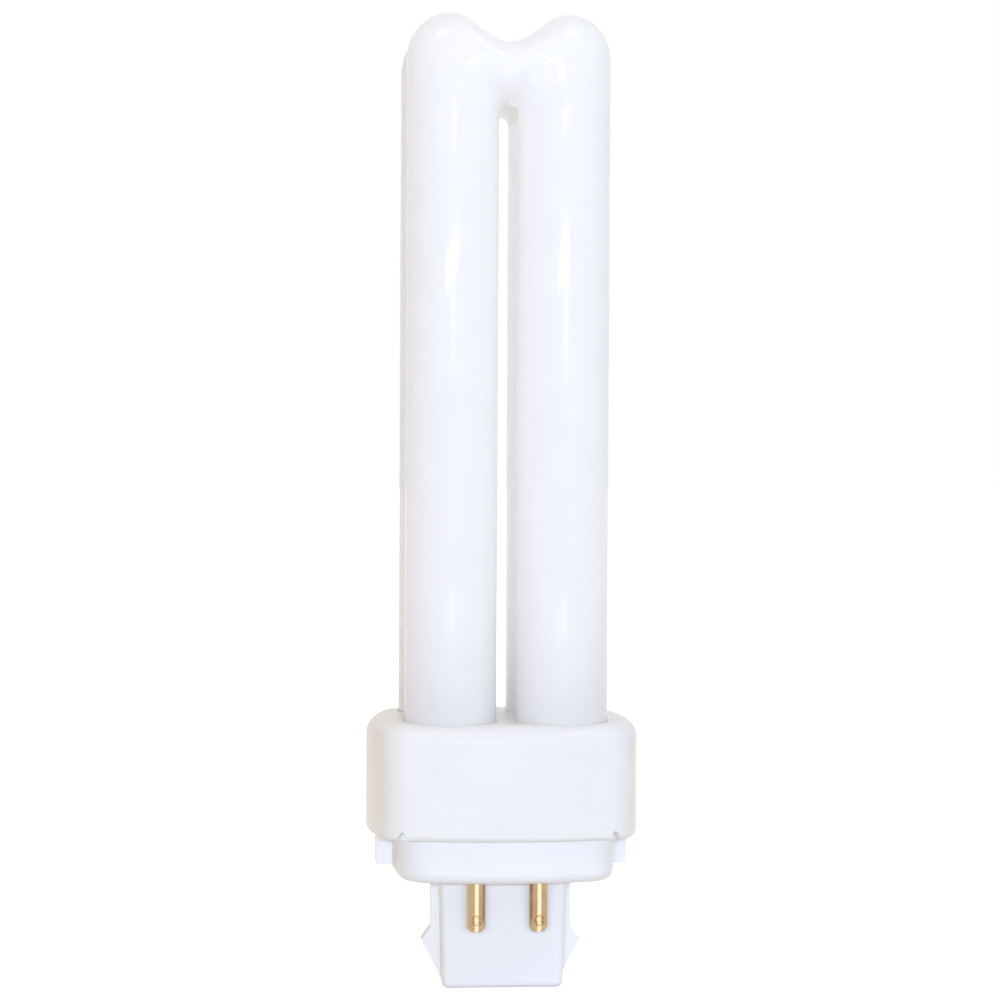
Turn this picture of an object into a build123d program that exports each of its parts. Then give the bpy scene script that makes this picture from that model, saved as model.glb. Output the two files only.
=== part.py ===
"""Plug-in compact fluorescent lamp with two U-bent glass tubes and a four-pin plug base.

Millimetres. X is the width, the front faces -Y and Z is up. The origin is on the lamp's axis, at
the flat end of the plug post.
"""
import os
from math import cos, radians, sin, sqrt

from build123d import *

# Heights along the lamp
post_height = 15.2  # end of the post to the seat plane under the step
step_height = 5.8  # seat plane to the lower edge of the collar
collar_height = 15.3
glass_height = 94.1  # top face of the collar to the crowns of the glass

# Glass
tube_diameter = 12.3
tube_spacing = 14.9  # between the axes of neighbouring legs, across and front to back
crown_spacing = 15.8  # between the two crowns of one U-bend
valley_drop = 3.65  # from the crowns down to the valley between them
arch_drop = 11.9  # from the crowns down to the inner arch of the bend
shoulder_drop = 6.0  # from the crowns down to where the legs start to curve
bend_depth = 11.9  # front to back through the middle of the bend
shoulder_steps = 5  # loft sections from the shoulder to the crown
valley_steps = 5  # loft sections from the crown to the valley
leg_steps = 4  # loft sections from the level of the arch to the shoulder
glass_bridge_diameter = 7.0
glass_bridge_height = 9.0  # bridge axis above the collar's top face
seal_gap = 1.6  # lowest glass above the plug base's plate
seal_length = 5.6
seal_thickness = 3.2
seal_width = 11.6
closed_end_radius = 3.0
closed_end_steps = 4  # loft spans round a closed end
exhaust_tip_diameter = 4.0
exhaust_tip_length = 3.0

# Collar
collar_end_margin = 4.7  # glass to the collar's left and right ends
collar_side_margin = 2.1  # glass to the collar's front and back
collar_side_radius = 57.0  # bow of the front and back
collar_end_radius = 43.0  # bow of the two ends
collar_corner_radius = 5.0
collar_top_radius = 2.4
collar_lower_radius = 0.7
collar_wall = 1.3
collar_top_thickness = 2.0
tube_hole_clearance = 0.12
rim_notch_offset = 0.8  # along the rim from the front or back to the middle of a notch
rim_notch_width = 1.9
rim_notch_top_width = 0.5
rim_notch_height = 1.2

# Cement under the collar's top
cement_thickness = 3.0
cement_clearance = 0.05

# Plug base
step_width = 29.8
step_depth = 28.6
step_side_radius = 45.0
step_end_radius = 76.0
step_corner_radius = 5.0
step_lower_radius = 1.4
step_wall = 1.2
step_floor = 1.8
plate_thickness = 1.8
plate_clearance = 0.1
fin_reach = 17.0  # lamp axis to the outer edge of a key fin
fin_height = 4.6
fin_thickness = 5.0
post_width = 17.0
post_end_width = 16.3
post_depth = 11.6
post_end_depth = 10.6
post_wall = 1.5
post_corner_radius = 0.9
post_end_radius = 0.8
wing_width = 19.0
wing_thickness = 3.0
lug_width = 21.6  # across the tips of the two latch lugs
lug_shoulder_height = 7.8
lug_tip_height = 5.9
lug_foot_height = 0.9

# Contact pins
pin_diameter = 2.5
pin_length = 6.6  # below the seat plane
pin_spacing = 8.3  # within a row
pin_row_spacing = 22.6
pin_neck_diameter = 2.3  # above the seat plane
pin_bore = 1.1
pin_bore_floor = 0.4  # bottom of the bore above the seat plane
pin_flange_diameter = 2.9
pin_flange_thickness = 0.8
pin_tail_length = 1.6
pin_clearance = 0.05
pin_tip_radius = 1.0
crimp_radius = 0.8
crimp_depth = 0.5
crimp_height = 1.7  # above the pin's tip

# Lead wires
lead_diameter = 0.5
lead_spacing = 4.0  # between the two leads of one press seal
lead_bend_radius = 1.2
lead_straight = 1.4  # straight out of the seal and into the pin
lead_end_gap = 0.3

# Levels and places that follow from the sizes above
collar_bottom = post_height + step_height
collar_top = collar_bottom + collar_height
crown_level = collar_top + glass_height
plate_top = collar_bottom + plate_thickness
floor_top = post_height + step_floor
plate_of_collar = collar_top - collar_top_thickness
glass_bottom = plate_top + seal_gap
tube_radius = tube_diameter / 2
slot_radius = (tube_spacing - tube_diameter) / 2
glass_width = tube_spacing + tube_diameter
collar_width = glass_width + 2 * collar_end_margin
collar_depth = glass_width + 2 * collar_side_margin
leg_offset = tube_spacing / 2
pivot_level = crown_level - arch_drop - slot_radius
pin_tip_level = post_height - pin_length
pin_top = floor_top + pin_flange_thickness + pin_tail_length
bore_end_level = post_height + pin_bore_floor
pin_x = pin_spacing / 2
pin_y = pin_row_spacing / 2

STANDING = (Align.CENTER, Align.CENTER, Align.MIN)
HANGING = (Align.CENTER, Align.CENTER, Align.MAX)
tiny = 1e-6


def bowed_plan(width, depth, side_radius, end_radius, corner_radius):
    """Four-sided plan with bowed sides and ends and with rounded corners."""
    side_shift = side_radius - depth / 2
    end_shift = end_radius - width / 2
    side_discs = (Pos(0, side_shift) * Circle(side_radius)) & (Pos(0, -side_shift) * Circle(side_radius))
    end_discs = (Pos(end_shift, 0) * Circle(end_radius)) & (Pos(-end_shift, 0) * Circle(end_radius))
    plan = side_discs & end_discs
    return fillet(plan.vertices(), corner_radius)


def collar_plan(inset=0):
    """Plan of the collar, or a plan that runs inside it at an even distance."""
    return bowed_plan(
        collar_width - 2 * inset,
        collar_depth - 2 * inset,
        collar_side_radius - inset,
        collar_end_radius - inset,
        collar_corner_radius - inset,
    )


def step_plan(inset=0):
    """Plan of the step, or a plan that runs inside it at an even distance."""
    return bowed_plan(
        step_width - 2 * inset,
        step_depth - 2 * inset,
        step_side_radius - inset,
        step_end_radius - inset,
        step_corner_radius - inset,
    )


def prism(plan, bottom, top):
    """Straight solid over a plan, between two levels."""
    return extrude(Pos(0, 0, bottom) * plan, top - bottom)


def leg_places():
    """Axes of the four glass legs, as X and Y."""
    return [(x, y) for y in (-leg_offset, leg_offset) for x in (-leg_offset, leg_offset)]


# Glass


def oval_section(centre, across, across_radius, depth_radius):
    """Oval section of the glass in four quarters, one axis along 'across' and the other along Y."""
    wide = across * across_radius
    deep = Vector(0, depth_radius, 0)
    corners = [wide, deep, wide * -1, deep * -1]
    handle = 4 / 3 * (sqrt(2) - 1)  # share that makes one cubic curve a quarter of an oval
    quarters = []
    for index, start in enumerate(corners):
        end = corners[(index + 1) % 4]
        first_handle = centre + start + end * handle
        last_handle = centre + end + start * handle
        quarters.append(Edge.make_bezier(centre + start, first_handle, last_handle, centre + end))
    return make_face(quarters)


def leg_section(x, y, z):
    """Round section of a leg, looking the same way as the sections of the bend."""
    return oval_section(Vector(x, y, z), Vector(x, 0, 0).normalized(), tube_radius, tube_radius)


def bend_outline():
    """Points on the left half of a bend's front outline, from the leg to the valley."""
    leg_x = -leg_offset - tube_radius
    crown_x = -crown_spacing / 2
    shoulder_level = crown_level - shoulder_drop
    points = []
    for index in range(leg_steps):
        share = index / leg_steps
        points.append(Vector(leg_x, 0, pivot_level + share * (shoulder_level - pivot_level)))
    for index in range(shoulder_steps + 1):
        turn = radians(90 * index / shoulder_steps)
        x = crown_x + (leg_x - crown_x) * cos(turn)
        points.append(Vector(x, 0, shoulder_level + shoulder_drop * sin(turn)))
    for index in range(1, valley_steps + 1):
        share = index / valley_steps
        fall = valley_drop * (1 - cos(radians(180 * share))) / 2
        points.append(Vector(crown_x * (1 - share), 0, crown_level - fall))
    return points


def bend_sections(y):
    """Sections of a whole bend from leg to leg. Each turns about the top of the slot."""
    pivot = Vector(0, 0, pivot_level)
    left_half = []
    for outer in bend_outline():
        spoke = outer - pivot
        across = spoke.normalized()
        centre = pivot + across * ((spoke.length + slot_radius) / 2) + Vector(0, y, 0)
        # the depth narrows from the leg's to the middle's as the spoke turns upright
        depth_radius = tube_radius + across.Z**4 * (bend_depth / 2 - tube_radius)
        left_half.append((centre, across, (spoke.length - slot_radius) / 2, depth_radius))
    right_half = []
    for centre, across, across_radius, depth_radius in reversed(left_half[:-1]):
        mirrored_centre = Vector(-centre.X, centre.Y, centre.Z)
        mirrored_across = Vector(-across.X, 0, across.Z)
        right_half.append((mirrored_centre, mirrored_across, across_radius, depth_radius))
    return [oval_section(*section) for section in left_half + right_half]


def straight_leg(x, y, bottom):
    """Plain leg from a level up to the start of the bend."""
    return extrude(leg_section(x, y, bottom), pivot_level - bottom, dir=(0, 0, 1))


def press_seal(x, y):
    """Flattened end of a leg that carries an electrode's two leads."""
    flat_top = glass_bottom + seal_length / 2
    axis = Vector(x, 0, 0).normalized()
    flat = oval_section(Vector(x, y, flat_top), axis, seal_width / 2, seal_thickness / 2)
    taper = loft([leg_section(x, y, glass_bottom + seal_length), flat], ruled=True)
    return taper + extrude(flat, seal_length / 2, dir=(0, 0, -1))


def closed_leg(x, y, bottom):
    """Leg with a rounded closed end."""
    axis = Vector(x, 0, 0).normalized()
    sections = []
    for index in range(closed_end_steps + 1):
        turn = radians(90 * index / closed_end_steps)
        level = bottom + closed_end_radius * (1 - sin(turn))
        radius = tube_radius - closed_end_radius * (1 - cos(turn))
        sections.append(oval_section(Vector(x, y, level), axis, radius, radius))
    return straight_leg(x, y, bottom + closed_end_radius) + loft(sections)


def make_u_tube(y):
    """One U-bent tube: a press seal at the foot of its left leg and a closed right leg."""
    tube = loft(bend_sections(y))
    tube += straight_leg(-leg_offset, y, glass_bottom + seal_length)
    tube += press_seal(-leg_offset, y)
    tube += closed_leg(leg_offset, y, glass_bottom + exhaust_tip_length)
    return tube


def make_discharge_tube():
    """Two U-bent tubes, fused by a short bridge between their right legs."""
    bridge_level = collar_top + glass_bridge_height
    bridge = Pos(leg_offset, 0, bridge_level) * Rot(90, 0, 0) * Cylinder(glass_bridge_diameter / 2, tube_spacing)
    tip_bottom = Pos(leg_offset, leg_offset, glass_bottom)
    tip_length = exhaust_tip_length + closed_end_radius
    tip = tip_bottom * Cylinder(exhaust_tip_diameter / 2, tip_length, align=STANDING)
    return make_u_tube(-leg_offset) + make_u_tube(leg_offset) + bridge + tip


# Collar and cement


def notch_cutters():
    """Tapered cutters for the small notches right through the collar's lower rim, one at each corner."""
    half_foot, half_top = rim_notch_width / 2, rim_notch_top_width / 2
    outline = Polygon(
        (-half_foot, 0), (half_foot, 0), (half_top, rim_notch_height), (-half_top, rim_notch_height), align=None
    )
    cutters = []
    for edge in collar_plan().edges():
        if abs(edge.radius - collar_corner_radius) > tiny:
            continue
        share = rim_notch_offset / edge.length
        middle = edge @ share if abs((edge @ 0).Y) > abs((edge @ 1).Y) else edge @ (1 - share)
        outward = (middle - edge.arc_center).normalized()
        place = Plane(middle + Vector(0, 0, collar_bottom), x_dir=Vector(0, 0, 1).cross(outward), z_dir=outward)
        cutters.append(extrude(place * outline, 2 * collar_wall, both=True))
    return cutters


def make_collar():
    """Shell with a top plate, four tube holes and an open foot."""
    collar = prism(collar_plan(), collar_bottom, collar_top)
    collar = fillet(collar.edges().group_by(Axis.Z)[-1], collar_top_radius)
    collar = fillet(collar.edges().group_by(Axis.Z)[0], collar_lower_radius)
    collar -= prism(collar_plan(collar_wall), collar_bottom, plate_of_collar)
    hole_radius = tube_radius + tube_hole_clearance
    for x, y in leg_places():
        collar -= Pos(x, y, glass_bottom) * Cylinder(hole_radius, collar_top - glass_bottom, align=STANDING)
    for cutter in notch_cutters():
        collar -= cutter
    return collar


def make_bonding_cement():
    """Cement cast round the legs, under the collar's top plate."""
    plan = collar_plan(collar_wall + cement_clearance)
    cement = prism(plan, plate_of_collar - cement_thickness, plate_of_collar)
    for x, y in leg_places():
        leg_hole = Cylinder(tube_radius + cement_clearance, cement_thickness, align=HANGING)
        cement -= Pos(x, y, plate_of_collar) * leg_hole
    return cement


# Plug base


def make_post():
    """Drafted plug post with a flat end."""
    end = RectangleRounded(post_end_width, post_end_depth, post_corner_radius)
    root = Pos(0, 0, post_height) * RectangleRounded(post_width, post_depth, post_corner_radius)
    post = loft([end, root], ruled=True)
    return fillet(post.edges().group_by(Axis.Z)[0], post_end_radius)


def make_wings():
    """Side wings of the post, with a V-shaped latch lug at the foot of each."""
    right_edge = [
        (wing_width / 2, post_height),
        (wing_width / 2, lug_shoulder_height),
        (lug_width / 2, lug_tip_height),
        (post_end_width / 2, lug_foot_height),
    ]
    left_edge = [(-x, z) for x, z in reversed(right_edge)]
    outline = Plane.XZ * Polygon(*right_edge, *left_edge, align=None)
    return extrude(outline, wing_thickness / 2, both=True)


def make_plug_base():
    """Step with the key fins, the plug post and the plate that closes the collar's foot."""
    step = prism(step_plan(), post_height, collar_bottom)
    step = fillet(step.edges().group_by(Axis.Z)[0], step_lower_radius)
    plate = prism(collar_plan(collar_wall + plate_clearance), collar_bottom, plate_top)
    fins = Pos(0, 0, collar_bottom) * Box(2 * fin_reach, fin_thickness, fin_height, align=HANGING)
    base = step + plate + fins + make_post() + make_wings()
    base -= prism(step_plan(step_wall), floor_top, plate_top)
    post_room = Rectangle(post_end_width - 2 * post_wall, post_end_depth - 2 * post_wall)
    base -= prism(post_room, post_wall, floor_top)
    for x, y in pin_places().values():
        pin_hole = Cylinder(pin_diameter / 2 + pin_clearance, step_floor, align=STANDING)
        base -= Pos(x, y, post_height) * pin_hole
    return base


# Contact pins and lead wires


def pin_places():
    """Axes of the four pins by name, as X and Y."""
    return {
        "front_left": (-pin_x, -pin_y),
        "front_right": (pin_x, -pin_y),
        "back_left": (-pin_x, pin_y),
        "back_right": (pin_x, pin_y),
    }


def make_contact_pin(x, y):
    """Pin with a rounded tip, a crimp near it, a neck through the floor, a flange and a bored tail."""
    radius = pin_diameter / 2
    shank = Pos(0, 0, pin_tip_level) * Cylinder(radius, pin_length, align=STANDING)
    shank = fillet(shank.edges().group_by(Axis.Z)[0], pin_tip_radius)
    neck = Pos(0, 0, post_height) * Cylinder(pin_neck_diameter / 2, pin_top - post_height, align=STANDING)
    flange = Pos(0, 0, floor_top) * Cylinder(pin_flange_diameter / 2, pin_flange_thickness, align=STANDING)
    bore = Pos(0, 0, bore_end_level) * Cylinder(pin_bore / 2, pin_top - bore_end_level, align=STANDING)
    outward = 1 if y > 0 else -1
    crimp_y = outward * (radius - crimp_depth + crimp_radius)
    crimp = Pos(0, crimp_y, pin_tip_level + crimp_height) * Sphere(crimp_radius)
    return Pos(x, y, 0) * (shank + neck + flange - bore - crimp)


def make_lead_wire(x, y):
    """Wire from the press seal on its side of the lamp to the bore of one pin."""
    seal_x = -leg_offset + (lead_spacing / 2 if x > 0 else -lead_spacing / 2)
    seal_y = leg_offset if y > 0 else -leg_offset
    route = FilletPolyline(
        (seal_x, seal_y, glass_bottom),
        (seal_x, seal_y, glass_bottom - lead_straight),
        (x, y, pin_top + lead_straight),
        (x, y, bore_end_level + lead_end_gap),
        radius=lead_bend_radius,
    )
    section = Plane(route @ 0, z_dir=route % 0) * Circle(lead_diameter / 2)
    return sweep(section, route)


def build_nodes():
    """Every piece of the lamp by its name."""
    nodes = {
        "discharge_tube": make_discharge_tube(),
        "collar": make_collar(),
        "bonding_cement": make_bonding_cement(),
        "plug_base": make_plug_base(),
    }
    for name, (x, y) in pin_places().items():
        nodes["contact_pin_" + name] = make_contact_pin(x, y)
        nodes["lead_wire_" + name] = make_lead_wire(x, y)
    return nodes


os.makedirs("parts", exist_ok=True)
for node, shape in build_nodes().items():
    export_step(shape, f"parts/{node}.step")
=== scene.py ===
"""Looks of a plug-in fluorescent bulb, laid out as a Blender add-on and run as a script.

Metres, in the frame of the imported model: X is the width, the front faces -Y, Z is up and the flat
end of the plug post stands on the floor.
"""

from math import pi, radians

import bpy
from bpy.props import FloatProperty, FloatVectorProperty, PointerProperty
from mathutils import Matrix, Vector


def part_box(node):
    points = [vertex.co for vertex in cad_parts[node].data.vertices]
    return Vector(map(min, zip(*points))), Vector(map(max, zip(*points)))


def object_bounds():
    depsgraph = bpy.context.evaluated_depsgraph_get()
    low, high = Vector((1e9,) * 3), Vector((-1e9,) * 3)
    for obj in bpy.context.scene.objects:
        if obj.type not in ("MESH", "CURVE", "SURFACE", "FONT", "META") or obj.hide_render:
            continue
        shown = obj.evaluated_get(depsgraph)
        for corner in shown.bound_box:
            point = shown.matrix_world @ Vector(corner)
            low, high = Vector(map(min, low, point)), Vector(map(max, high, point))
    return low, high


bl_info = {
    "name": "Plug-in fluorescent bulb",
    "version": (1, 0, 0),
    "blender": (4, 5, 0),
    "location": "View3D > Sidebar > Bulb",
    "description": "Finishes the bulb's glass, plastic and metal and sets up its studio",
    "category": "Object",
}

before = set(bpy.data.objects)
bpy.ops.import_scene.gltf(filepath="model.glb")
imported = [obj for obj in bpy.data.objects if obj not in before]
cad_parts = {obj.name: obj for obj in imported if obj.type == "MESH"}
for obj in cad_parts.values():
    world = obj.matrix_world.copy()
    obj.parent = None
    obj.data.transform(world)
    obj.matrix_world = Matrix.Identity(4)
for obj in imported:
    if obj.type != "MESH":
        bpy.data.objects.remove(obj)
cad_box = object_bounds()
floor_level = cad_box[0].z
mm = 0.001

PINS = [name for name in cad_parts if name.startswith("contact_pin")]
WIRES = [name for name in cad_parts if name.startswith("lead_wire")]

# Refraction of the clear glass and of the plastic, and the shader's level for an unchanged gloss.
GLASS_IOR = 1.52
POLYESTER_IOR = 1.5
PLAIN_GLOSS = 0.5

# Places and sizes of the lights, as width and height.
FRONT_LIGHT_PLACE = (-0.1, -1.2, 0.22)
FRONT_LIGHT_SIZE = (0.4, 0.07)
STRIP_SIDE = -0.044
STRIP_DISTANCE = -1.0
# Level of each strip over the floor, its size and its share of the strips' power.
STRIPS = (
    (0.167, (0.62, 0.006), 1),  # the tall tapered highlight on each leg
    (0.232, (0.16, 0.006), 0.12),  # the small spindle above it
    (0.14, (0.12, 0.07), 0.035),  # the faint tail below it
)
CEILING_PLACES = ((-0.53, -0.45, 1.09), (0.47, -0.45, 1.09))
CEILING_SIZE = (0.36, 0.36)

# Where the room's light turns from the left colour to the right one, and where the backdrop's soft
# edge begins and ends, as the sideways and backward parts of a direction one unit long.
ROOM_LEFT = -0.8
ROOM_RIGHT = 0.6
BACKDROP_BEGINS = 0.5
BACKDROP_FULL = 0.9

FLOOR_SIDES = 96
SENSOR_WIDTH_MM = 36
NEAREST_VIEW = 0.01


def linear(code):
    """Linear RGBA of an sRGB hex colour such as '#F0F2F6'."""
    channels = [int(code[place : place + 2], 16) / 255 for place in (1, 3, 5)]
    return [c / 12.92 if c <= 0.04045 else ((c + 0.055) / 1.055) ** 2.4 for c in channels] + [1.0]


def colour_property(name, description, code):
    """Colour that a user can change, with its default given as sRGB hex."""
    return FloatVectorProperty(
        name=name,
        description=description,
        subtype="COLOR",
        size=4,
        min=0,
        max=1,
        default=linear(code),
    )


def length_property(name, description, default):
    """Length in metres that a user can change."""
    return FloatProperty(
        name=name, description=description, unit="LENGTH", min=0, default=default, precision=5
    )


def share_property(name, description, default):
    """Number from 0 to 1 that a user can change."""
    return FloatProperty(
        name=name, description=description, subtype="FACTOR", min=0, max=1, default=default
    )


def angle_property(name, description, degrees):
    """Angle that a user can change."""
    return FloatProperty(
        name=name, description=description, subtype="ANGLE", default=radians(degrees)
    )


def level_property(name, description, default):
    """Strength of light that a user can change, where 1 is plain white."""
    return FloatProperty(name=name, description=description, min=0, default=default)


def power_property(name, description, default):
    """Power of a lamp that a user can change."""
    return FloatProperty(
        name=name, description=description, unit="POWER", min=0, default=default
    )


class GlassFinish(bpy.types.PropertyGroup):
    """White-coated glass of the U-bent tubes."""

    coat: colour_property("Coat", "White powder coat seen through the glass", "#FDFDFD")
    thin_coat: colour_property("Thin coat", "The coat where it settled more thinly", "#F9F9F8")
    let_through: share_property("Let through", "Share of light that the thin coat passes", 0.4)
    cloud_size: length_property("Cloud size", "Width of the clouds in the coat", 5 * mm)
    roughness: share_property("Roughness", "Roughness of the fire-polished glass", 0.035)
    ripple_width: length_property("Ripple width", "Width of the ripples round a tube", 7 * mm)
    ripple_length: length_property("Ripple length", "Length of the ripples along a tube", 30 * mm)
    ripple_depth: length_property("Ripple depth", "Depth of the ripples", 0.008 * mm)


class PlasticFinish(bpy.types.PropertyGroup):
    """White moulded plastic of the collar and the plug base."""

    collar: colour_property("Collar", "White of the collar", "#F1F0EB")
    plug: colour_property("Plug base", "White of the plug base", "#F6F6F4")
    flow_size: length_property("Flow marks", "Width of the marks where the melt flowed", 9 * mm)
    # a real mould's grain is about 0.05 mm wide, and is drawn coarser so that it shows
    grain_size: length_property("Grain", "Width of the mould's spark-eroded grain", 0.35 * mm)
    grain_depth: length_property("Grain depth", "Depth of that grain", 0.006 * mm)
    roughness: share_property("Roughness", "Roughness of the moulded skin", 0.34)


class PinFinish(bpy.types.PropertyGroup):
    """Drawn brass of the contact pins."""

    brass: colour_property("Brass", "Drawn brass with a thin tarnish", "#AF9879")
    tarnish: colour_property("Tarnish", "Brass that has browned", "#957762")
    tarnish_size: length_property("Tarnish size", "Width of the browned patches", 1.6 * mm)
    # painted highlight: a bright line painted down the middle of each pin, where the lights reflect
    # in the brass
    painted_highlight: colour_property("Burnish", "Line that the holder's springs rub bright", "#E9D9B4")
    painted_highlight_width: length_property("Burnish width", "Width of that line", 0.5 * mm)
    # the lines of a real die are about 0.02 mm wide, and are drawn coarser so that they show
    drawing_width: length_property("Drawing lines", "Width of the die's lines", 0.12 * mm)
    drawing_length: length_property("Drawing length", "Length of the die's lines", 4 * mm)
    drawing_depth: length_property("Drawing depth", "Depth of the die's lines", 0.01 * mm)
    roughness: share_property("Roughness", "Roughness of the drawn brass", 0.2)


class WireFinish(bpy.types.PropertyGroup):
    """Plating of the lead wires."""

    plating: colour_property("Plating", "Nickel plating of the lead wires", "#B9B5AE")
    streak_size: length_property("Streaks", "Width of the dull streaks in the plating", 0.4 * mm)


class CementFinish(bpy.types.PropertyGroup):
    """Cement between the glass and the collar."""

    paste: colour_property("Paste", "Buff of the basing cement", "#CBC2B0")
    grain_size: length_property("Grain", "Width of the filler grains", 0.5 * mm)
    pore_depth: length_property("Pore depth", "Depth of the pores between grains", 0.05 * mm)


class StudioSettings(bpy.types.PropertyGroup):
    """Camera, floor and lights."""

    camera_place: FloatVectorProperty(
        name="Camera",
        description="Place of the lens",
        subtype="TRANSLATION",
        unit="LENGTH",
        default=(-33.3 * mm, -378.0 * mm, 71.46 * mm),
    )
    camera_yaw: angle_property("Yaw", "Turn of the view to the right", 4.995)
    camera_pitch: angle_property("Pitch", "Tilt of the view upwards", -0.878)
    camera_roll: angle_property("Roll", "Lean of the camera to the left", 0.288)
    lens: FloatProperty(
        name="Lens", description="Focal length on a 36 mm sensor", unit="CAMERA", default=100.35
    )
    floor_radius: length_property("Floor radius", "Radius of the round floor", 6.0)
    floor: colour_property("Floor", "Pale floor", "#D6CFC5")
    floor_lift: share_property("Floor lift", "Light added to the floor as it is seen", 0.8)
    backdrop: colour_property("Backdrop", "Light from the white backdrop", "#FAFAFA")
    surround_left: colour_property("Left surround", "Room light from the left", "#B7A48B")
    surround_right: colour_property("Right surround", "Room light from the right", "#D0D4E2")
    surround_strength: level_property("Surround strength", "Level of the room light", 1.0)
    backdrop_strength: level_property("Backdrop strength", "Level of the backdrop's light", 1.8)
    flash: colour_property("Front light", "Cool light beside the lens", "#CBDFFF")
    strip: colour_property("Strip light", "Bright strips just over the lens", "#D5E6FF")
    overhead: colour_property("Overhead light", "Warm light of the ceiling lamps", "#FFE9D2")
    flash_power: power_property("Front power", "Power of the soft front light", 7.2)
    strip_power: power_property("Strip power", "Power of the main strip over the lens", 1.1)
    overhead_power: power_property("Overhead power", "Power of each ceiling lamp", 0.9)


def add_node(tree, kind, inputs=None, **settings):
    """Adds a node with its settings, and sets its inputs or links them to other nodes' outputs."""
    node = tree.nodes.new(kind)
    for name, value in settings.items():
        setattr(node, name, value)
    for socket, value in (inputs or {}).items():
        if isinstance(value, bpy.types.NodeSocket):
            tree.links.new(value, node.inputs[socket])
        else:
            node.inputs[socket].default_value = value
    return node


def new_material(name):
    """Empty node material and its output node."""
    material = bpy.data.materials.new(name)
    material.use_nodes = True
    material.node_tree.nodes.clear()
    output = add_node(material.node_tree, "ShaderNodeOutputMaterial")
    return material, material.node_tree, output


def dress(nodes, material):
    """Puts one material on CAD nodes."""
    for name in nodes:
        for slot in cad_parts[name].material_slots:
            slot.material = material


def coated_glass(finish):
    """Soda-lime glass, drawn, bent and fire-polished, with a white powder coat on its inside.

    It gives the eye an even soft white under a clear sharp gloss, whose highlights wander a little
    because drawn and bent glass is never quite true.
    """
    material, tree, output = new_material("powder_coated_soda_lime_glass")
    place = add_node(tree, "ShaderNodeTexCoord").outputs["Object"]
    clouds = add_node(
        tree, "ShaderNodeTexNoise", {"Vector": place, "Scale": 1 / finish.cloud_size, "Detail": 3.0}
    )
    coat = add_node(
        tree,
        "ShaderNodeMix",
        {"Factor": clouds.outputs["Fac"], "A": finish.coat, "B": finish.thin_coat},
        data_type="RGBA",
    )
    stretch = (1 / finish.ripple_width, 1 / finish.ripple_width, 1 / finish.ripple_length)
    drawn = add_node(tree, "ShaderNodeMapping", {"Vector": place, "Scale": stretch})
    ripples = add_node(
        tree,
        "ShaderNodeTexNoise",
        {"Vector": drawn.outputs["Vector"], "Scale": 1.0, "Detail": 1.0},
    )
    surface = add_node(
        tree,
        "ShaderNodeBump",
        {"Height": ripples.outputs["Fac"], "Distance": finish.ripple_depth, "Strength": 1.0},
    )
    glass = add_node(
        tree,
        "ShaderNodeBsdfPrincipled",
        {
            "Base Color": coat.outputs["Result"],
            "Roughness": finish.roughness,
            "IOR": GLASS_IOR,
            # raised so that the mix below keeps the gloss of glass
            "Specular IOR Level": PLAIN_GLOSS / (1 - finish.let_through),
            "Normal": surface.outputs["Normal"],
        },
    )
    glow = add_node(tree, "ShaderNodeBsdfTranslucent", {"Color": coat.outputs["Result"]})
    wall = add_node(
        tree,
        "ShaderNodeMixShader",
        {0: finish.let_through, 1: glass.outputs["BSDF"], 2: glow.outputs["BSDF"]},
    )
    tree.links.new(wall.outputs["Shader"], output.inputs["Surface"])
    return material


def moulded_plastic(name, colour, finish):
    """White polyester, injection moulded in a spark-eroded mould.

    It gives the eye a milky satin skin: wide dull highlights, a fine grain in them, and faint
    clouds where the melt flowed together.
    """
    material, tree, output = new_material(name)
    place = add_node(tree, "ShaderNodeTexCoord").outputs["Object"]
    flow = add_node(
        tree,
        "ShaderNodeTexNoise",
        {"Vector": place, "Scale": 1 / finish.flow_size, "Detail": 2.0, "Distortion": 0.6},
    )
    # at most 3% darker in the middle of a cloud
    shade = add_node(
        tree,
        "ShaderNodeMapRange",
        {
            "Value": flow.outputs["Fac"],
            "From Min": 0.3,
            "From Max": 0.7,
            "To Min": 0.97,
            "To Max": 1.0,
        },
    )
    tone = add_node(
        tree,
        "ShaderNodeMix",
        {"Factor": 1.0, "A": colour, "B": shade.outputs["Result"]},
        data_type="RGBA",
        blend_type="MULTIPLY",
    )
    grain = add_node(
        tree, "ShaderNodeTexNoise", {"Vector": place, "Scale": 1 / finish.grain_size, "Detail": 2.0}
    )
    skin = add_node(
        tree,
        "ShaderNodeBump",
        {"Height": grain.outputs["Fac"], "Distance": finish.grain_depth, "Strength": 1.0},
    )
    plastic = add_node(
        tree,
        "ShaderNodeBsdfPrincipled",
        {
            "Base Color": tone.outputs["Result"],
            "Roughness": finish.roughness,
            "IOR": POLYESTER_IOR,
            "Normal": skin.outputs["Normal"],
        },
    )
    tree.links.new(plastic.outputs["BSDF"], output.inputs["Surface"])
    return material


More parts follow.
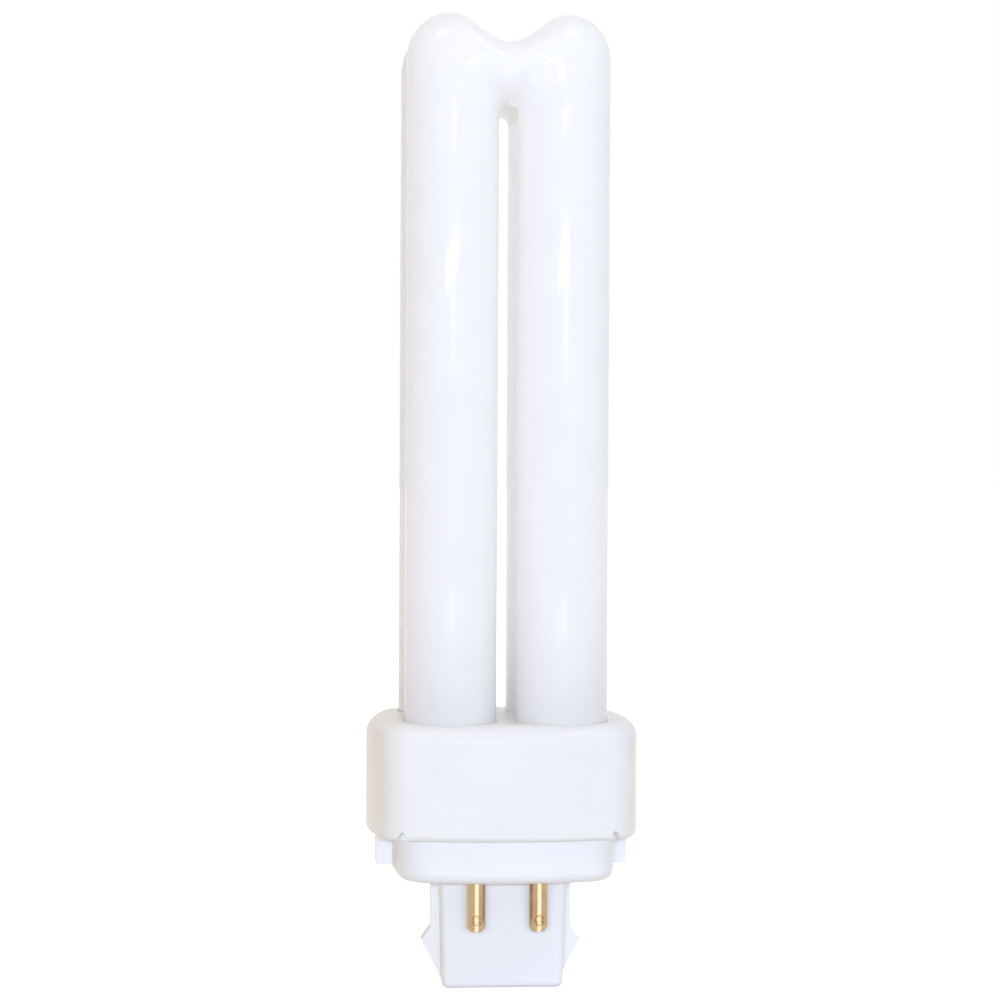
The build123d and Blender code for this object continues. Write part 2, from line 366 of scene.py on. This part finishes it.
def drawn_brass(finish):
    """Brass tube, drawn through a die and bright-dipped.

    It gives the eye a warm mirror that is combed lengthways by the die and browned in patches, with a
    painted highlight: a bright line painted along the middle of each pin, where the lights reflect.
    """
    material, tree, output = new_material("drawn_brass")
    place = add_node(tree, "ShaderNodeTexCoord").outputs["Object"]
    patches = add_node(
        tree,
        "ShaderNodeTexNoise",
        {"Vector": place, "Scale": 1 / finish.tarnish_size, "Detail": 3.0},
    )
    # only the peaks of the noise are browned, and those not fully
    browned = add_node(
        tree,
        "ShaderNodeMapRange",
        {"Value": patches.outputs["Fac"], "From Min": 0.45, "From Max": 0.75, "To Max": 0.6},
    )
    body = add_node(
        tree,
        "ShaderNodeMix",
        {"Factor": browned.outputs["Result"], "A": finish.brass, "B": finish.tarnish},
        data_type="RGBA",
    )
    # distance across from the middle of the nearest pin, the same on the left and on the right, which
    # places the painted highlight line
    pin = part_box("contact_pin_front_right")
    pin_middle = (pin[0].x + pin[1].x) / 2
    across = add_node(tree, "ShaderNodeSeparateXYZ", {"Vector": place}).outputs["X"]
    across = add_node(tree, "ShaderNodeMath", {0: across}, operation="ABSOLUTE")
    across = add_node(
        tree, "ShaderNodeMath", {0: across.outputs[0], 1: pin_middle}, operation="SUBTRACT"
    )
    across = add_node(tree, "ShaderNodeMath", {0: across.outputs[0]}, operation="ABSOLUTE")
    # painted highlight line: half its width, with a soft edge
    painted_highlight_line = add_node(
        tree,
        "ShaderNodeMapRange",
        {
            "Value": across.outputs[0],
            "From Min": 0.3 * finish.painted_highlight_width,
            "From Max": 0.7 * finish.painted_highlight_width,
            "To Min": 1.0,
            "To Max": 0.0,
        },
    )
    # lays the painted highlight line over the brass
    tone = add_node(
        tree,
        "ShaderNodeMix",
        {"Factor": painted_highlight_line.outputs["Result"], "A": body.outputs["Result"], "B": finish.painted_highlight},
        data_type="RGBA",
    )
    stretch = (1 / finish.drawing_width, 1 / finish.drawing_width, 1 / finish.drawing_length)
    drawn = add_node(tree, "ShaderNodeMapping", {"Vector": place, "Scale": stretch})
    lines = add_node(
        tree,
        "ShaderNodeTexNoise",
        {"Vector": drawn.outputs["Vector"], "Scale": 1.0, "Detail": 2.0},
    )
    combed = add_node(
        tree,
        "ShaderNodeBump",
        {"Height": lines.outputs["Fac"], "Distance": finish.drawing_depth, "Strength": 0.6},
    )
    lengthways = add_node(tree, "ShaderNodeTangent", direction_type="RADIAL", axis="Z")
    brass = add_node(
        tree,
        "ShaderNodeBsdfPrincipled",
        {
            "Base Color": tone.outputs["Result"],
            "Metallic": 1.0,
            "Roughness": finish.roughness,
            "Anisotropic": 0.8,
            "Anisotropic Rotation": 0.25,
            "Tangent": lengthways.outputs["Tangent"],
            "Normal": combed.outputs["Normal"],
        },
    )
    tree.links.new(brass.outputs["BSDF"], output.inputs["Surface"])
    return material


def plated_wire(finish):
    """Copper-clad wire, drawn and nickel plated.

    It gives the eye a pale grey metal with dull streaks.
    """
    material, tree, output = new_material("nickel_plated_wire")
    place = add_node(tree, "ShaderNodeTexCoord").outputs["Object"]
    streaks = add_node(
        tree, "ShaderNodeTexNoise", {"Vector": place, "Scale": 1 / finish.streak_size, "Detail": 2.0}
    )
    dull = add_node(
        tree,
        "ShaderNodeMapRange",
        {"Value": streaks.outputs["Fac"], "To Min": 0.22, "To Max": 0.45},
    )
    wire = add_node(
        tree,
        "ShaderNodeBsdfPrincipled",
        {"Base Color": finish.plating, "Metallic": 1.0, "Roughness": dull.outputs["Result"]},
    )
    tree.links.new(wire.outputs["BSDF"], output.inputs["Surface"])
    return material


def basing_cement(finish):
    """Marble-filled resin cement, cast and baked.

    It gives the eye a matt buff paste with pale grains and pores between them.
    """
    material, tree, output = new_material("basing_cement")
    place = add_node(tree, "ShaderNodeTexCoord").outputs["Object"]
    grains = add_node(
        tree, "ShaderNodeTexVoronoi", {"Vector": place, "Scale": 1 / finish.grain_size}
    )
    # a fifth darker between the grains
    shade = add_node(
        tree,
        "ShaderNodeMapRange",
        {"Value": grains.outputs["Distance"], "To Min": 1.0, "To Max": 0.8},
    )
    tone = add_node(
        tree,
        "ShaderNodeMix",
        {"Factor": 1.0, "A": finish.paste, "B": shade.outputs["Result"]},
        data_type="RGBA",
        blend_type="MULTIPLY",
    )
    pores = add_node(
        tree,
        "ShaderNodeBump",
        {"Height": grains.outputs["Distance"], "Distance": finish.pore_depth, "Strength": 0.8},
    )
    cement = add_node(
        tree,
        "ShaderNodeBsdfPrincipled",
        {"Base Color": tone.outputs["Result"], "Roughness": 0.9, "Normal": pores.outputs["Normal"]},
    )
    tree.links.new(cement.outputs["BSDF"], output.inputs["Surface"])
    return material


class BULB_OT_finish_glass(bpy.types.Operator):
    """Give the U-bent tubes their coated glass"""

    bl_idname = "bulb.finish_glass"
    bl_label = "Finish the glass"

    def execute(self, context):
        dress(["discharge_tube"], coated_glass(context.scene.bulb_glass))
        return {"FINISHED"}


class BULB_OT_finish_collar(bpy.types.Operator):
    """Give the collar its moulded plastic"""

    bl_idname = "bulb.finish_collar"
    bl_label = "Finish the collar"

    def execute(self, context):
        finish = context.scene.bulb_plastic
        dress(["collar"], moulded_plastic("moulded_polyester_collar", finish.collar, finish))
        return {"FINISHED"}


class BULB_OT_finish_plug_base(bpy.types.Operator):
    """Give the plug base its moulded plastic"""

    bl_idname = "bulb.finish_plug_base"
    bl_label = "Finish the plug base"

    def execute(self, context):
        finish = context.scene.bulb_plastic
        dress(["plug_base"], moulded_plastic("moulded_polyester_plug", finish.plug, finish))
        return {"FINISHED"}


class BULB_OT_finish_pins(bpy.types.Operator):
    """Give the contact pins their drawn brass"""

    bl_idname = "bulb.finish_pins"
    bl_label = "Finish the pins"

    def execute(self, context):
        dress(PINS, drawn_brass(context.scene.bulb_pins))
        return {"FINISHED"}


class BULB_OT_finish_wires(bpy.types.Operator):
    """Give the lead wires their plating"""

    bl_idname = "bulb.finish_wires"
    bl_label = "Finish the wires"

    def execute(self, context):
        dress(WIRES, plated_wire(context.scene.bulb_wires))
        return {"FINISHED"}


class BULB_OT_finish_cement(bpy.types.Operator):
    """Give the cement inside the collar its grain"""

    bl_idname = "bulb.finish_cement"
    bl_label = "Finish the cement"

    def execute(self, context):
        dress(["bonding_cement"], basing_cement(context.scene.bulb_cement))
        return {"FINISHED"}


def seen_directly(tree):
    """1 for what the camera, a gloss or a clear material looks at, 0 for what only gives light."""
    path = add_node(tree, "ShaderNodeLightPath").outputs
    seen = add_node(
        tree,
        "ShaderNodeMath",
        {0: path["Is Camera Ray"], 1: path["Is Glossy Ray"]},
        operation="MAXIMUM",
    )
    seen = add_node(
        tree,
        "ShaderNodeMath",
        {0: seen.outputs[0], 1: path["Is Transmission Ray"]},
        operation="MAXIMUM",
    )
    return seen.outputs[0]


def pale_floor(studio):
    """Seamless pale paper: it keeps the bulb's shadow, and is lifted to white as it is seen."""
    material, tree, output = new_material("pale_paper_floor")
    lift = add_node(
        tree, "ShaderNodeMath", {0: seen_directly(tree), 1: studio.floor_lift}, operation="MULTIPLY"
    )
    paper = add_node(tree, "ShaderNodeBsdfDiffuse", {"Color": studio.floor})
    glow = add_node(tree, "ShaderNodeEmission", {"Strength": lift.outputs[0]})
    both = add_node(
        tree, "ShaderNodeAddShader", {0: paper.outputs["BSDF"], 1: glow.outputs["Emission"]}
    )
    tree.links.new(both.outputs[0], output.inputs["Surface"])
    return material


def light_the_room(studio):
    """White as it is seen, and a soft room light that is white behind and warm on the left."""
    world = bpy.data.worlds.new("studio_room")
    bpy.context.scene.world = world
    world.use_nodes = True
    tree = world.node_tree
    tree.nodes.clear()
    direction = add_node(tree, "ShaderNodeTexCoord").outputs["Generated"]
    direction = add_node(tree, "ShaderNodeSeparateXYZ", {"Vector": direction})
    rightwards = add_node(
        tree,
        "ShaderNodeMapRange",
        {"Value": direction.outputs["X"], "From Min": ROOM_LEFT, "From Max": ROOM_RIGHT},
    )
    sides = add_node(
        tree,
        "ShaderNodeMix",
        {
            "Factor": rightwards.outputs["Result"],
            "A": studio.surround_left,
            "B": studio.surround_right,
        },
        data_type="RGBA",
    )
    backwards = add_node(
        tree,
        "ShaderNodeMapRange",
        {"Value": direction.outputs["Y"], "From Min": BACKDROP_BEGINS, "From Max": BACKDROP_FULL},
    )
    around = add_node(
        tree,
        "ShaderNodeBackground",
        {"Color": sides.outputs["Result"], "Strength": studio.surround_strength},
    )
    behind = add_node(
        tree,
        "ShaderNodeBackground",
        {"Color": studio.backdrop, "Strength": studio.backdrop_strength},
    )
    light = add_node(
        tree,
        "ShaderNodeMixShader",
        {
            0: backwards.outputs["Result"],
            1: around.outputs["Background"],
            2: behind.outputs["Background"],
        },
    )
    white = add_node(tree, "ShaderNodeBackground", {"Color": (1, 1, 1, 1), "Strength": 1.0})
    shown = add_node(
        tree,
        "ShaderNodeMixShader",
        {0: seen_directly(tree), 1: light.outputs["Shader"], 2: white.outputs["Background"]},
    )
    output = add_node(tree, "ShaderNodeOutputWorld")
    tree.links.new(shown.outputs["Shader"], output.inputs["Surface"])


def add_soft_light(name, place, size, power, colour):
    """Oval area light of a width and height, turned to the middle of the bulb."""
    middle = (cad_box[0] + cad_box[1]) / 2
    bpy.ops.object.light_add(type="AREA", location=place)
    lamp = bpy.context.object
    lamp.name = name
    lamp.rotation_euler = (middle - Vector(place)).to_track_quat("-Z", "Y").to_euler()
    lamp.data.shape = "ELLIPSE"
    lamp.data.size, lamp.data.size_y = size
    lamp.data.energy = power
    lamp.data.color = colour[:3]
    return lamp


class BULB_OT_set_studio(bpy.types.Operator):
    """Set up the floor, the lights and the camera"""

    bl_idname = "bulb.set_studio"
    bl_label = "Set up the studio"

    def execute(self, context):
        studio = context.scene.bulb_studio
        bpy.ops.object.select_all(action="DESELECT")
        self.lay_floor(studio)
        light_the_room(studio)
        self.place_lights(studio)
        self.place_camera(studio)
        context.scene.view_settings.view_transform = "Standard"
        return {"FINISHED"}

    def lay_floor(self, studio):
        """Round seamless floor under the post."""
        bpy.ops.mesh.primitive_circle_add(
            vertices=FLOOR_SIDES,
            radius=studio.floor_radius,
            fill_type="NGON",
            location=(0, 0, floor_level),
        )
        floor = bpy.context.object
        floor.name = "floor"
        floor.data.materials.append(pale_floor(studio))

    def place_lights(self, studio):
        """Soft front light, the strips over the lens that draw the highlights, and two ceiling lamps.

        The front light is kept out of reflections, so that only the strips show in the glass.
        """
        front = add_soft_light(
            "front_light", FRONT_LIGHT_PLACE, FRONT_LIGHT_SIZE, studio.flash_power, studio.flash
        )
        front.visible_glossy = False
        for level, size, share in STRIPS:
            place = (STRIP_SIDE, STRIP_DISTANCE, level)
            add_soft_light("strip_light", place, size, share * studio.strip_power, studio.strip)
        for place in CEILING_PLACES:
            add_soft_light(
                "ceiling_light", place, CEILING_SIZE, studio.overhead_power, studio.overhead
            )

    def place_camera(self, studio):
        """Camera at the photograph's angle, which sees to the far side of the floor."""
        bpy.ops.object.camera_add(location=studio.camera_place)
        camera = bpy.context.object
        camera.name = "camera"
        turn = Matrix.Rotation(-studio.camera_yaw, 3, "Z")
        turn = turn @ Matrix.Rotation(pi / 2 + studio.camera_pitch, 3, "X")
        turn = turn @ Matrix.Rotation(studio.camera_roll, 3, "Z")
        camera.rotation_euler = turn.to_euler()
        camera.data.sensor_width = SENSOR_WIDTH_MM
        camera.data.lens = studio.lens
        camera.data.clip_start = NEAREST_VIEW
        camera.data.clip_end = 4 * studio.floor_radius
        bpy.context.scene.camera = camera


OPERATORS = (
    BULB_OT_finish_glass,
    BULB_OT_finish_collar,
    BULB_OT_finish_plug_base,
    BULB_OT_finish_pins,
    BULB_OT_finish_wires,
    BULB_OT_finish_cement,
    BULB_OT_set_studio,
)
SETTINGS = {
    "bulb_glass": GlassFinish,
    "bulb_plastic": PlasticFinish,
    "bulb_pins": PinFinish,
    "bulb_wires": WireFinish,
    "bulb_cement": CementFinish,
    "bulb_studio": StudioSettings,
}


class BULB_PT_sidebar(bpy.types.Panel):
    """Steps and settings of the bulb"""

    bl_idname = "BULB_PT_sidebar"
    bl_label = "Plug-in bulb"
    bl_space_type = "VIEW_3D"
    bl_region_type = "UI"
    bl_category = "Bulb"

    def draw(self, context):
        for operator in OPERATORS:
            self.layout.operator(operator.bl_idname)
        for name, group in SETTINGS.items():
            box = self.layout.box()
            for setting in group.__annotations__:
                box.prop(getattr(context.scene, name), setting)


def register():
    for group in SETTINGS.values():
        bpy.utils.register_class(group)
    for operator in OPERATORS:
        bpy.utils.register_class(operator)
    bpy.utils.register_class(BULB_PT_sidebar)
    for name, group in SETTINGS.items():
        setattr(bpy.types.Scene, name, PointerProperty(type=group))


def unregister():
    for name in SETTINGS:
        delattr(bpy.types.Scene, name)
    bpy.utils.unregister_class(BULB_PT_sidebar)
    for operator in reversed(OPERATORS):
        bpy.utils.unregister_class(operator)
    for group in SETTINGS.values():
        bpy.utils.unregister_class(group)


def main():
    """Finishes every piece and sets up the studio."""
    register()
    bpy.ops.bulb.finish_glass()
    bpy.ops.bulb.finish_collar()
    bpy.ops.bulb.finish_plug_base()
    bpy.ops.bulb.finish_pins()
    bpy.ops.bulb.finish_wires()
    bpy.ops.bulb.finish_cement()
    bpy.ops.bulb.set_studio()


if __name__ == "__main__":
    main()
